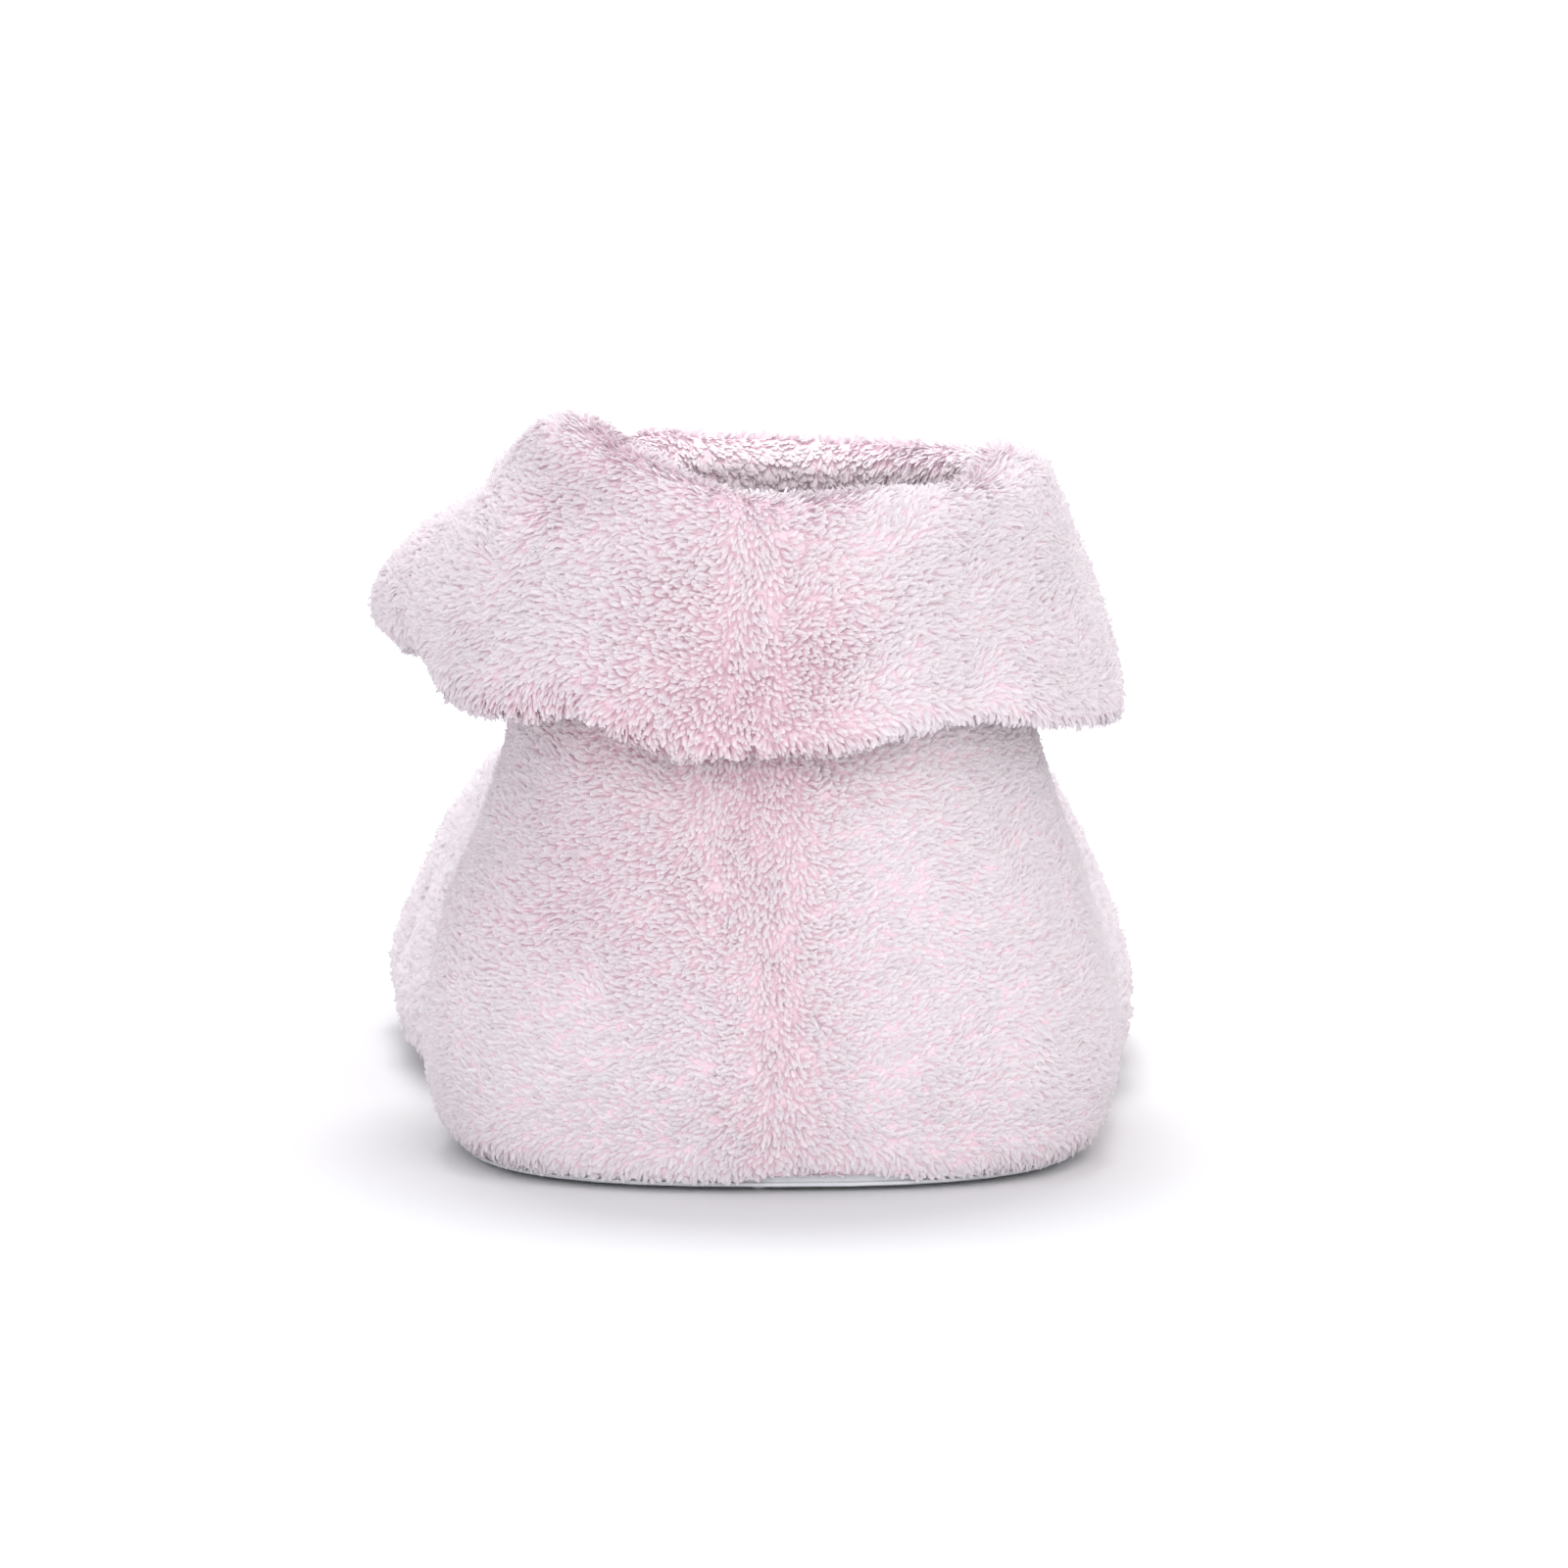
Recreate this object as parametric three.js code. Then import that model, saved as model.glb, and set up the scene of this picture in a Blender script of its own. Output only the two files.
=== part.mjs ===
// Bootie slipper: a plush house shoe on a thin flat sole, with its collar turned down as a cuff.
// Millimetres, +Z up, toe towards +Y. Right shoe, so its inner side is at -X.
// The origin is on the floor, under the middle of the heel.
import * as THREE from 'three';

// Driving sizes of the plush body
const bodyLength = 258;
const heelSetback = 45; // from the origin to the back of the heel
const heelWidth = 96;
const ballWidth = 114;
const pileEdge = 1.2; // lower edge of the plush above the floor
const shaftHeight = 84; // from the plush's lower edge to the shaft's edge, at the back seam
const wall = 4.5; // backing cloth, padding and the pile on both faces
const toeSwing = 6; // how far the toe leans to the inner side
const archHollow = 3; // how far the waist is drawn in at the inner side

// Driving sizes of the sole and the footbed
const soleThickness = 3;
const pileOverSole = 2.2; // pile that hangs down beside the sole's edge
const soleLip = 0.4; // step of the lip round the sole's lower edge
const toeSpring = 4;
const insoleThickness = 5;
const insoleCrown = 1.2; // how far its upper edge is rounded off

// Driving sizes of the turned-down cuff
const cuffDrop = 38.5; // from the fold to the hem where it hangs furthest
const cuffFlare = 12; // how far the hem stands off the shaft where it stands furthest
const cuffBelly = 8; // how far the flap's middle swells out where it swells most
const rollThickness = 5.5; // pile and cloth over the shaft's edge
const flapTopThickness = 4.6;
const hemThickness = 7.5;
const facingDepth = 9; // the cuff's own cloth inside the shaft
const facingThickness = 2.6;

// Gaps between pieces
const seat = 0.3;
const bedGap = 0.45; // level gap round the footbed, beside the sloping wall
const flapSeat = 0.6; // where the flap follows the curved shaft

// Mesh steps
const roundSteps = 70; // columns round each ring
const outerSteps = 24;
const flapSteps = 9;

// Plan shape of the rings: the ends are superellipse arcs.
const heelRun = 0.178; // length of the heel's arc, as a share of bodyLength
const heelFullness = 2.5;
const toeFullness = 2.2;
const heelStation = 0.2; // where the heel width holds, as a share of bodyLength
const outerBallStation = 0.62;
const waistStation = 0.36;
const waistRun = 0.16;
const swingStation = 0.35;
const springStation = 0.7;
const springRun = 0.27;
const springShare = 0.5; // share of the rows over which the body takes up the toe spring
const waveShare = 0.70833; // share of the rows above which it takes up the wave of its edge

// Rings of the body from its lower edge to the shaft's edge. Rises are shares of shaftHeight,
// lengths of bodyLength, heel and ball of half the heel and ball widths, waist of archHollow.
const SECTION_COLUMNS =
  ['heelRise', 'toeRise', 'back', 'front', 'heel', 'ball', 'innerBall', 'toeRun', 'waist'];
const SECTIONS = tableOf(SECTION_COLUMNS, [
  [0.0, 0.0, 0.0058, 0.977, 0.906, 0.921, 0.58, 0.326, 1.0], // beside the sole
  [0.039, 0.045, 0.0023, 0.992, 0.97, 0.982, 0.58, 0.333, 1.0],
  [0.115, 0.127, 0.0, 1.0, 1.0, 1.0, 0.6, 0.341, 0.9], // widest
  [0.198, 0.221, 0.0012, 0.997, 0.994, 0.967, 0.64, 0.35, 0.7],
  [0.292, 0.321, 0.0039, 0.985, 0.965, 0.905, 0.68, 0.36, 0.5],
  [0.386, 0.415, 0.0093, 0.965, 0.923, 0.84, 0.72, 0.38, 0.2],
  [0.492, 0.504, 0.0155, 0.919, 0.854, 0.755, 0.74, 0.426, 0.0],
  [0.574, 0.58, 0.0202, 0.829, 0.808, 0.685, 0.74, 0.543, 0.0], // top of the toe box
  [0.645, 0.645, 0.0233, 0.682, 0.775, 0.65, 0.72, 0.457, 0.0],
  [0.709, 0.721, 0.0244, 0.558, 0.75, 0.63, 0.7, 0.333, 0.0], // instep
  [0.786, 0.815, 0.0244, 0.473, 0.733, 0.614, 0.66, 0.24, 0.0],
  [0.892, 0.927, 0.0233, 0.432, 0.721, 0.605, 0.62, 0.209, 0.0],
  [1.0, 1.0, 0.0213, 0.415, 0.708, 0.596, 0.62, 0.2, 0.0], // shaft's edge
]);
const lastRow = SECTIONS.length - 1;

// The cuff at each sixteenth of the way round, from the back seam by the outer side. Edge is the
// shaft's edge as a share of shaftHeight, drop of cuffDrop, flare of cuffFlare, belly of cuffBelly.
const CUFF_COLUMNS = ['edge', 'drop', 'flare', 'belly'];
const CUFF = tableOf(CUFF_COLUMNS, [
  [1.0, 0.88, 0.15, 0.0], // back seam
  [1.0, 0.815, 0.15, 0.0],
  [1.018, 0.88, 0.25, 0.0],
  [1.048, 0.95, 0.4, 0.0],
  [1.06, 0.95, 0.5, 0.05], // outer side
  [1.054, 0.88, 0.5, 0.1],
  [1.048, 0.78, 0.4, 0.1],
  [1.048, 0.68, 0.3, 0.0],
  [1.054, 0.64, 0.25, 0.0], // front
  [1.06, 0.68, 0.4, 0.2],
  [1.054, 0.75, 0.75, 0.65],
  [1.043, 0.76, 1.0, 1.0],
  [1.048, 0.75, 0.85, 1.0], // inner side
  [1.083, 0.85, 0.5, 0.55],
  [1.119, 1.02, 0.35, 0.2],
  [1.06, 0.93, 0.3, 0.1],
]);

const plush = new THREE.MeshStandardMaterial({ color: 0xecdce4, roughness: 0.95, metalness: 0 });
const cuffPlush = new THREE.MeshStandardMaterial({ color: 0xeee0e7, roughness: 0.95, metalness: 0 });
const footbed = new THREE.MeshStandardMaterial({ color: 0xf0e4ea, roughness: 0.95, metalness: 0 });
const rubber = new THREE.MeshStandardMaterial({ color: 0xc9cbd0, roughness: 0.6, metalness: 0 });

function tableOf(columns, rows) {
  return rows.map((row) => Object.fromEntries(columns.map((name, i) => [name, row[i]])));
}

function mix(a, b, t) {
  return a + (b - a) * t;
}

function smooth(t) {
  const x = Math.min(1, Math.max(0, t));
  return x * x * (3 - 2 * x);
}

function cubic(a, b, c, d, t) {
  return b + 0.5 * t * (c - a + t * (2 * a - 5 * b + 4 * c - d + t * (3 * (b - c) + d - a)));
}

// A column of an open table at a row number that may lie between two rows.
function sectionAt(name, row) {
  const i = Math.min(lastRow - 1, Math.max(0, Math.floor(row)));
  const at = (k) => SECTIONS[Math.min(lastRow, Math.max(0, k))][name];
  return cubic(at(i - 1), at(i), at(i + 1), at(i + 2), row - i);
}

// A column of the cuff's table at a share of the way round.
function cuffAt(name, turn) {
  const place = (((turn % 1) + 1) % 1) * CUFF.length;
  const i = Math.floor(place);
  const at = (k) => CUFF[(k + CUFF.length) % CUFF.length][name];
  return cubic(at(i - 1), at(i), at(i + 1), at(i + 2), place - i);
}

// Height of the shaft's edge above the floor.
function edgeHeight(turn) {
  return pileEdge + shaftHeight * cuffAt('edge', turn);
}

// Height of the cuff's hem above the floor.
function hemHeight(turn) {
  return edgeHeight(turn) + seat + rollThickness - cuffDrop * cuffAt('drop', turn);
}

// How much of its full width a ring has at a distance from its end.
function endShare(distance, run, fullness) {
  const left = Math.max(0, 1 - Math.max(0, distance) / run);
  return (1 - left ** fullness) ** (1 / fullness);
}

// Height that the toe spring adds at a distance from the back of the heel.
function springAt(fromBack) {
  const t = Math.max(0, (fromBack / bodyLength - springStation) / springRun);
  return toeSpring * t * t;
}

// A point of the body's outer face. Turn goes once round from the back of the heel by the outer
// side, and row goes from the seat to the shaft's edge.
function bodyPoint(turn, row) {
  const back = sectionAt('back', row) * bodyLength;
  const front = sectionAt('front', row) * bodyLength;
  const share = (1 - Math.cos(2 * Math.PI * turn)) / 2;
  const fromBack = mix(back, front, share);
  const along = fromBack / bodyLength;
  const outer = Math.sin(2 * Math.PI * turn) >= 0;
  const ballStation = outer ? outerBallStation : sectionAt('innerBall', row);
  const blend = smooth((along - heelStation) / (ballStation - heelStation));
  const half = mix(sectionAt('heel', row) * heelWidth, sectionAt('ball', row) * ballWidth, blend) / 2;
  const atWaist = smooth(1 - Math.abs(along - waistStation) / waistRun);
  const drawnIn = outer ? 0 : archHollow * sectionAt('waist', row) * atWaist;
  const heelEnd = endShare(fromBack - back, heelRun * bodyLength, heelFullness);
  const toeEnd = endShare(front - fromBack, sectionAt('toeRun', row) * bodyLength, toeFullness);
  const centre = -toeSwing * smooth((along - swingStation) / (1 - swingStation));
  const x = centre + (outer ? 1 : -1) * (half - drawnIn) * heelEnd * toeEnd;
  const rise = shaftHeight * mix(sectionAt('heelRise', row), sectionAt('toeRise', row), share);
  const wave = edgeHeight(turn) - pileEdge - shaftHeight;
  const toEdge = wave * smooth((row / lastRow - waveShare) / (1 - waveShare));
  const spring = springAt(fromBack) * Math.max(0, 1 - row / (springShare * lastRow));
  return new THREE.Vector3(x, fromBack - heelSetback, pileEdge + rise + toEdge + spring);
}

// The direction out of the body at a point: level at its lower and upper edges, and square to
// the face between them.
function outwards(turn, row) {
  const step = 0.004;
  const around = bodyPoint(turn + step, row).sub(bodyPoint(turn - step, row));
  const low = Math.max(0, row - 0.1);
  const high = Math.min(lastRow, row + 0.1);
  const up = bodyPoint(turn, high).sub(bodyPoint(turn, low));
  const square = new THREE.Vector3().crossVectors(around, up).normalize();
  const level = levelOut(turn, row);
  const share = smooth(row / 2) * smooth((lastRow - row) / 2);
  return level.lerp(square, share).normalize();
}

function levelOut(turn, row) {
  const step = 0.004;
  const around = bodyPoint(turn + step, row).sub(bodyPoint(turn - step, row));
  return new THREE.Vector3(around.y, -around.x, 0).normalize();
}

// A point of the body's inner face.
function liningPoint(turn, row) {
  return bodyPoint(turn, row).addScaledVector(outwards(turn, row), -wall);
}

// A point beside the body's lower edge, at a height above the floor before the toe spring.
function solePoint(turn, inset, height) {
  const point = bodyPoint(turn, 0).addScaledVector(levelOut(turn, 0), -inset);
  return point.setZ(height + springAt(point.y + heelSetback));
}

// The row at which the body's outer face has a given height.
function rowAtHeight(turn, height) {
  let low = 0;
  let high = lastRow;
  for (let i = 0; i < 30; i++) {
    const middle = (low + high) / 2;
    if (bodyPoint(turn, middle).z < height) low = middle;
    else high = middle;
  }
  return (low + high) / 2;
}

function ringOf(pointAt) {
  return Array.from({ length: roundSteps }, (_, i) => pointAt(i / roundSteps));
}

// Joins rings of equal counts into one mesh. An open stack is closed by strips across its first
// and last ring, and a looped stack joins its last ring to its first.
function solidOf(name, rings, looped, material) {
  const points = rings.flat();
  const triangles = [];
  const index = (ring, column) => ring * roundSteps + ((column + roundSteps) % roundSteps);
  const sides = looped ? rings.length : rings.length - 1;
  for (let r = 0; r < sides; r++) {
    const next = (r + 1) % rings.length;
    for (let c = 0; c < roundSteps; c++) {
      triangles.push(index(r, c), index(r, c + 1), index(next, c + 1));
      triangles.push(index(r, c), index(next, c + 1), index(next, c));
    }
  }
  if (!looped) {
    addCap(triangles, (c) => index(0, c), false);
    addCap(triangles, (c) => index(rings.length - 1, c), true);
  }
  const geometry = new THREE.BufferGeometry();
  geometry.setAttribute('position', new THREE.Float32BufferAttribute(points.flatMap((p) => [p.x, p.y, p.z]), 3));
  geometry.setIndex(triangles);
  geometry.computeVertexNormals();
  const mesh = new THREE.Mesh(geometry, material);
  mesh.name = name;
  return mesh;
}

// Closes a ring with strips from its outer side to its inner side, from heel to toe.
function addCap(triangles, at, facingUp) {
  const add = (a, b, c) => triangles.push(...(facingUp ? [a, b, c] : [a, c, b]));
  for (let k = 0; k < Math.floor(roundSteps / 2); k++) {
    const [a, b, c, d] = [at(k), at(k + 1), at(-k - 1), at(-k)];
    if (a !== d) add(a, c, d);
    if (b !== c) add(a, b, c);
  }
}

function makeOutsole() {
  const edge = pileOverSole + seat;
  const lipRoom = pileEdge - seat;
  const rings = [
    ringOf((turn) => solePoint(turn, edge, 0)),
    ringOf((turn) => solePoint(turn, edge - soleLip, lipRoom * 0.2)),
    ringOf((turn) => solePoint(turn, edge - soleLip, lipRoom * 0.6)),
    ringOf((turn) => solePoint(turn, edge, lipRoom * 0.8)),
    ringOf((turn) => solePoint(turn, edge, soleThickness)),
  ];
  return solidOf('outsole', rings, false, rubber);
}

// A point beside the lining's lowest part, at a height above the sole's seat.
function bedPoint(turn, above, inset) {
  const floor = solePoint(turn, wall, soleThickness + seat);
  const height = floor.z + above;
  let row = 1;
  while (row < lastRow && liningPoint(turn, row).z < height) row++;
  const high = liningPoint(turn, row);
  const low = row > 1 ? liningPoint(turn, row - 1) : floor;
  const point = low.clone().lerp(high, (height - low.z) / (high.z - low.z));
  return point.addScaledVector(levelOut(turn, 0), -bedGap - inset).setZ(height);
}

function makeInsole() {
  const rings = [
    ringOf((turn) => bedPoint(turn, 0, 0)),
    ringOf((turn) => bedPoint(turn, insoleThickness * 0.4, 0)),
    ringOf((turn) => bedPoint(turn, insoleThickness - insoleCrown, 0)),
    ringOf((turn) => bedPoint(turn, insoleThickness, 2 * insoleCrown)),
  ];
  return solidOf('insole', rings, false, footbed);
}

function makeUpper() {
  const rings = [];
  for (let i = 0; i <= outerSteps; i++) {
    rings.push(ringOf((turn) => bodyPoint(turn, (lastRow * i) / outerSteps)));
  }
  for (let row = lastRow; row >= 1; row--) {
    rings.push(ringOf((turn) => liningPoint(turn, row)));
  }
  rings.push(ringOf((turn) => solePoint(turn, wall, soleThickness + seat)));
  rings.push(ringOf((turn) => solePoint(turn, pileOverSole, soleThickness + seat)));
  rings.push(ringOf((turn) => solePoint(turn, pileOverSole, pileEdge + seat)));
  return solidOf('upper', rings, true, plush);
}

// One column of the cuff: up its facing inside the shaft, over the shaft's edge, down the flap's
// outer face, round the hem and back up the flap's inner face to the edge.
function cuffColumn(turn) {
  const out = levelOut(turn, lastRow);
  const edge = bodyPoint(turn, lastRow);
  const inside = (down, depth) => {
    const high = liningPoint(turn, lastRow);
    const low = liningPoint(turn, lastRow - 1);
    const point = low.lerp(high, 1 - down / (high.z - low.z));
    return point.addScaledVector(out, -depth);
  };
  const flap = (share, depth) => {
    const height = mix(edge.z, hemHeight(turn), share);
    const swell = cuffBelly * cuffAt('belly', turn) * 4 * share * (1 - share);
    const stand = flapSeat + cuffFlare * cuffAt('flare', turn) * share + Math.max(0, swell);
    const point = bodyPoint(turn, rowAtHeight(turn, Math.min(height, edge.z)));
    return point.addScaledVector(out, stand + depth).setZ(height);
  };
  const thickness = (share) => mix(flapTopThickness, hemThickness, smooth(share));
  const crest = (depth, height) => edge.clone().addScaledVector(out, depth).setZ(edge.z + height);
  const facing = seat + facingThickness;
  const top = seat + rollThickness;
  const shoulder = flapSeat + flapTopThickness;
  const column = [
    inside(facingDepth, seat),
    inside(facingDepth + 0.3 * facingThickness, seat + 0.6 * facingThickness),
    inside(facingDepth * 0.8, facing),
    inside(0, facing),
    crest(-wall - facing * 0.75, top * 0.55),
    crest(-wall - facing * 0.2, top * 0.87),
    crest(-wall / 2, top),
    crest(shoulder * 0.15, top * 0.92),
    crest(shoulder * 0.7, top * 0.6),
  ];
  for (let i = 0; i < flapSteps; i++) {
    column.push(flap(i / flapSteps, thickness(i / flapSteps)));
  }
  const hem = 1 + (hemThickness * 0.3) / cuffDrop;
  column.push(flap(1, hemThickness * 0.88));
  column.push(flap(hem, hemThickness * 0.5));
  column.push(flap(1, hemThickness * 0.12));
  for (let i = flapSteps - 1; i >= 0; i--) {
    column.push(flap(i / flapSteps, 0));
  }
  column.push(crest(flapSeat, seat));
  column.push(crest(-wall - seat, seat));
  return column;
}

function makeCuff() {
  const columns = Array.from({ length: roundSteps }, (_, i) => cuffColumn(i / roundSteps));
  const rings = columns[0].map((_, k) => columns.map((column) => column[k]));
  return solidOf('cuff', rings.reverse(), true, cuffPlush);
}

const slipper = new THREE.Group();
slipper.add(makeOutsole(), makeInsole(), makeUpper(), makeCuff());
export default slipper;
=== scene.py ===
"""Looks of a plush bootie slipper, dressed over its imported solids. Lengths in code are millimetres
until a mesh is made."""

import math

import bpy
import numpy as np
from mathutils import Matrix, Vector


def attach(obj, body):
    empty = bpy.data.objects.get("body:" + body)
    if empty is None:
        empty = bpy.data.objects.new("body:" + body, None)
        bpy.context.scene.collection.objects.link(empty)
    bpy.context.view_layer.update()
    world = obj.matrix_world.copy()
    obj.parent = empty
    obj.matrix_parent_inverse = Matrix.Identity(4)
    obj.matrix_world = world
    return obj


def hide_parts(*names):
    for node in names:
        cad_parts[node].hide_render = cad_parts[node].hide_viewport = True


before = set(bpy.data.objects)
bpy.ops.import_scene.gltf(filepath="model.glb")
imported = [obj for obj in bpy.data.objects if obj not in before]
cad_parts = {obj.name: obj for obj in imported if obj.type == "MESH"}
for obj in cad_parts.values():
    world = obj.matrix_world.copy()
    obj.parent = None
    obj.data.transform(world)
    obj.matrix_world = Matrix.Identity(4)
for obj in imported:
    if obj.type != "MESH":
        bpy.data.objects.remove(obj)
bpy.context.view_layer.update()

MM = 0.001
RNG = np.random.default_rng(4207)

# Sizes of the solids, in millimetres, and the shape of their rings
BODY_LENGTH = 258
HEEL_SETBACK = 45
HEEL_WIDTH = 96
BALL_WIDTH = 114
PILE_EDGE = 1.2
SHAFT_HEIGHT = 84
WALL = 4.5
TOE_SWING = 6
ARCH_HOLLOW = 3
SOLE_THICKNESS = 3
PILE_OVER_SOLE = 2.2
TOE_SPRING = 4
INSOLE_THICKNESS = 5
CUFF_DROP = 38.5
CUFF_FLARE = 12
CUFF_BELLY = 8
ROLL_THICKNESS = 5.5
FLAP_TOP_THICKNESS = 4.6
HEM_THICKNESS = 7.5
FACING_DEPTH = 9
FACING_THICKNESS = 2.6
SEAT = 0.3
FLAP_SEAT = 0.6
FLAP_STEPS = 9
HEEL_RUN = 0.178
HEEL_FULLNESS = 2.5
TOE_FULLNESS = 2.2
HEEL_STATION = 0.2
OUTER_BALL_STATION = 0.62
WAIST_STATION = 0.36
WAIST_RUN = 0.16
SWING_STATION = 0.35
SPRING_STATION = 0.7
SPRING_RUN = 0.27
SPRING_SHARE = 0.5
WAVE_SHARE = 0.70833


def table_of(columns, rows):
    return {name: np.array([row[i] for row in rows], float) for i, name in enumerate(columns)}


SECTIONS = table_of(
    ["heel_rise", "toe_rise", "back", "front", "heel", "ball", "inner_ball", "toe_run", "waist"],
    [
        [0.0, 0.0, 0.0058, 0.977, 0.906, 0.921, 0.58, 0.326, 1.0],
        [0.039, 0.045, 0.0023, 0.992, 0.97, 0.982, 0.58, 0.333, 1.0],
        [0.115, 0.127, 0.0, 1.0, 1.0, 1.0, 0.6, 0.341, 0.9],
        [0.198, 0.221, 0.0012, 0.997, 0.994, 0.967, 0.64, 0.35, 0.7],
        [0.292, 0.321, 0.0039, 0.985, 0.965, 0.905, 0.68, 0.36, 0.5],
        [0.386, 0.415, 0.0093, 0.965, 0.923, 0.84, 0.72, 0.38, 0.2],
        [0.492, 0.504, 0.0155, 0.919, 0.854, 0.755, 0.74, 0.426, 0.0],
        [0.574, 0.58, 0.0202, 0.829, 0.808, 0.685, 0.74, 0.543, 0.0],
        [0.645, 0.645, 0.0233, 0.682, 0.775, 0.65, 0.72, 0.457, 0.0],
        [0.709, 0.721, 0.0244, 0.558, 0.75, 0.63, 0.7, 0.333, 0.0],
        [0.786, 0.815, 0.0244, 0.473, 0.733, 0.614, 0.66, 0.24, 0.0],
        [0.892, 0.927, 0.0233, 0.432, 0.721, 0.605, 0.62, 0.209, 0.0],
        [1.0, 1.0, 0.0213, 0.415, 0.708, 0.596, 0.62, 0.2, 0.0],
    ],
)
LAST_ROW = len(SECTIONS["heel"]) - 1

CUFF = table_of(
    ["edge", "drop", "flare", "belly"],
    [
        [1.0, 0.88, 0.15, 0.0],
        [1.0, 0.815, 0.15, 0.0],
        [1.018, 0.88, 0.25, 0.0],
        [1.048, 0.95, 0.4, 0.0],
        [1.06, 0.95, 0.5, 0.05],
        [1.054, 0.88, 0.5, 0.1],
        [1.048, 0.78, 0.4, 0.1],
        [1.048, 0.68, 0.3, 0.0],
        [1.054, 0.64, 0.25, 0.0],
        [1.06, 0.68, 0.4, 0.2],
        [1.054, 0.75, 0.75, 0.65],
        [1.043, 0.76, 1.0, 1.0],
        [1.048, 0.75, 0.85, 1.0],
        [1.083, 0.85, 0.5, 0.55],
        [1.119, 1.02, 0.35, 0.2],
        [1.06, 0.93, 0.3, 0.1],
    ],
)

# Pile, in millimetres: how far it stands proud of the cloth that it grows from
BODY_PILE = 1.7
CUFF_PILE = 1.8
LINING_PILE = 1.3
FACING_PILE = 0.9


UP = np.array([0.0, 0.0, 1.0])
DOWN = -UP


def smooth(t):
    t = np.clip(t, 0, 1)
    return t * t * (3 - 2 * t)


def mix(a, b, t):
    return a + (b - a) * t


def unit(v):
    return v / np.maximum(np.linalg.norm(v, axis=-1, keepdims=True), 1e-9)


def cubic(values, place, looped):
    """Smooth curve through values, read at a place between them."""
    count = len(values)
    i = np.floor(place).astype(int)
    if not looped:
        i = np.clip(i, 0, count - 2)
    t = place - i
    near = [i + step for step in (-1, 0, 1, 2)]
    near = [k % count if looped else np.clip(k, 0, count - 1) for k in near]
    a, b, c, d = (values[k] for k in near)
    return b + 0.5 * t * (c - a + t * (2 * a - 5 * b + 4 * c - d + t * (3 * (b - c) + d - a)))


def section_at(name, row):
    return cubic(SECTIONS[name], row, False)


def cuff_at(name, turn):
    return cubic(CUFF[name], (turn % 1) * len(CUFF[name]), True)


def edge_height(turn):
    return PILE_EDGE + SHAFT_HEIGHT * cuff_at("edge", turn)


def hem_height(turn):
    return edge_height(turn) + SEAT + ROLL_THICKNESS - CUFF_DROP * cuff_at("drop", turn)


def end_share(distance, run, fullness):
    """Share of the full width near an end, which rounds off over a run."""
    left = np.clip(1 - np.maximum(0, distance) / run, 0, 1)
    return (1 - left**fullness) ** (1 / fullness)


def spring_at(from_back):
    t = np.maximum(0, (from_back / BODY_LENGTH - SPRING_STATION) / SPRING_RUN)
    return TOE_SPRING * t * t


def middle_line(along):
    """How far the slipper's middle line stands sideways, as it swings inwards to the toe."""
    return -TOE_SWING * smooth((along - SWING_STATION) / (1 - SWING_STATION))


def body_point(turn, row):
    """Outer face of the plush body, as the solid has it."""
    turn, row = np.broadcast_arrays(np.asarray(turn, float), np.asarray(row, float))
    back = section_at("back", row) * BODY_LENGTH
    front = section_at("front", row) * BODY_LENGTH
    share = (1 - np.cos(2 * math.pi * turn)) / 2
    from_back = mix(back, front, share)
    along = from_back / BODY_LENGTH
    outer = np.sin(2 * math.pi * turn) >= 0
    station = np.where(outer, OUTER_BALL_STATION, section_at("inner_ball", row))
    blend = smooth((along - HEEL_STATION) / (station - HEEL_STATION))
    heel = section_at("heel", row) * HEEL_WIDTH
    ball = section_at("ball", row) * BALL_WIDTH
    at_waist = smooth(1 - np.abs(along - WAIST_STATION) / WAIST_RUN)
    drawn_in = np.where(outer, 0, ARCH_HOLLOW * section_at("waist", row) * at_waist)
    heel_end = end_share(from_back - back, HEEL_RUN * BODY_LENGTH, HEEL_FULLNESS)
    toe_end = end_share(front - from_back, section_at("toe_run", row) * BODY_LENGTH, TOE_FULLNESS)
    centre = middle_line(along)
    half = mix(heel, ball, blend) / 2 - drawn_in
    x = centre + np.where(outer, 1, -1) * half * heel_end * toe_end
    rise = SHAFT_HEIGHT * mix(section_at("heel_rise", row), section_at("toe_rise", row), share)
    wave = edge_height(turn) - PILE_EDGE - SHAFT_HEIGHT
    to_edge = wave * smooth((row / LAST_ROW - WAVE_SHARE) / (1 - WAVE_SHARE))
    spring = spring_at(from_back) * np.maximum(0, 1 - row / (SPRING_SHARE * LAST_ROW))
    return np.stack([x, from_back - HEEL_SETBACK, PILE_EDGE + rise + to_edge + spring], -1)


TURN_STEP, ROW_STEP = 0.004, 0.1


def level_out(turn, row):
    """Level direction out of the body."""
    around = body_point(turn + TURN_STEP, row) - body_point(turn - TURN_STEP, row)
    return unit(np.stack([around[..., 1], -around[..., 0], np.zeros_like(around[..., 0])], -1))


def outwards(turn, row):
    """Direction square to the body's face, and level at its lower and upper edges."""
    around = body_point(turn + TURN_STEP, row) - body_point(turn - TURN_STEP, row)
    above = body_point(turn, np.minimum(LAST_ROW, row + ROW_STEP))
    up = above - body_point(turn, np.maximum(0, row - ROW_STEP))
    square = unit(np.cross(around, up))
    share = smooth(row / 2) * smooth((LAST_ROW - row) / 2)
    return unit(mix(level_out(turn, row), square, share[..., None]))


HALVINGS = 24


def row_at_height(turn, height):
    low = np.zeros_like(height)
    high = np.full_like(height, LAST_ROW)
    for _ in range(HALVINGS):
        middle = (low + high) / 2
        below = body_point(turn, middle)[..., 2] < height
        low = np.where(below, middle, low)
        high = np.where(below, high, middle)
    return (low + high) / 2


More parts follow.
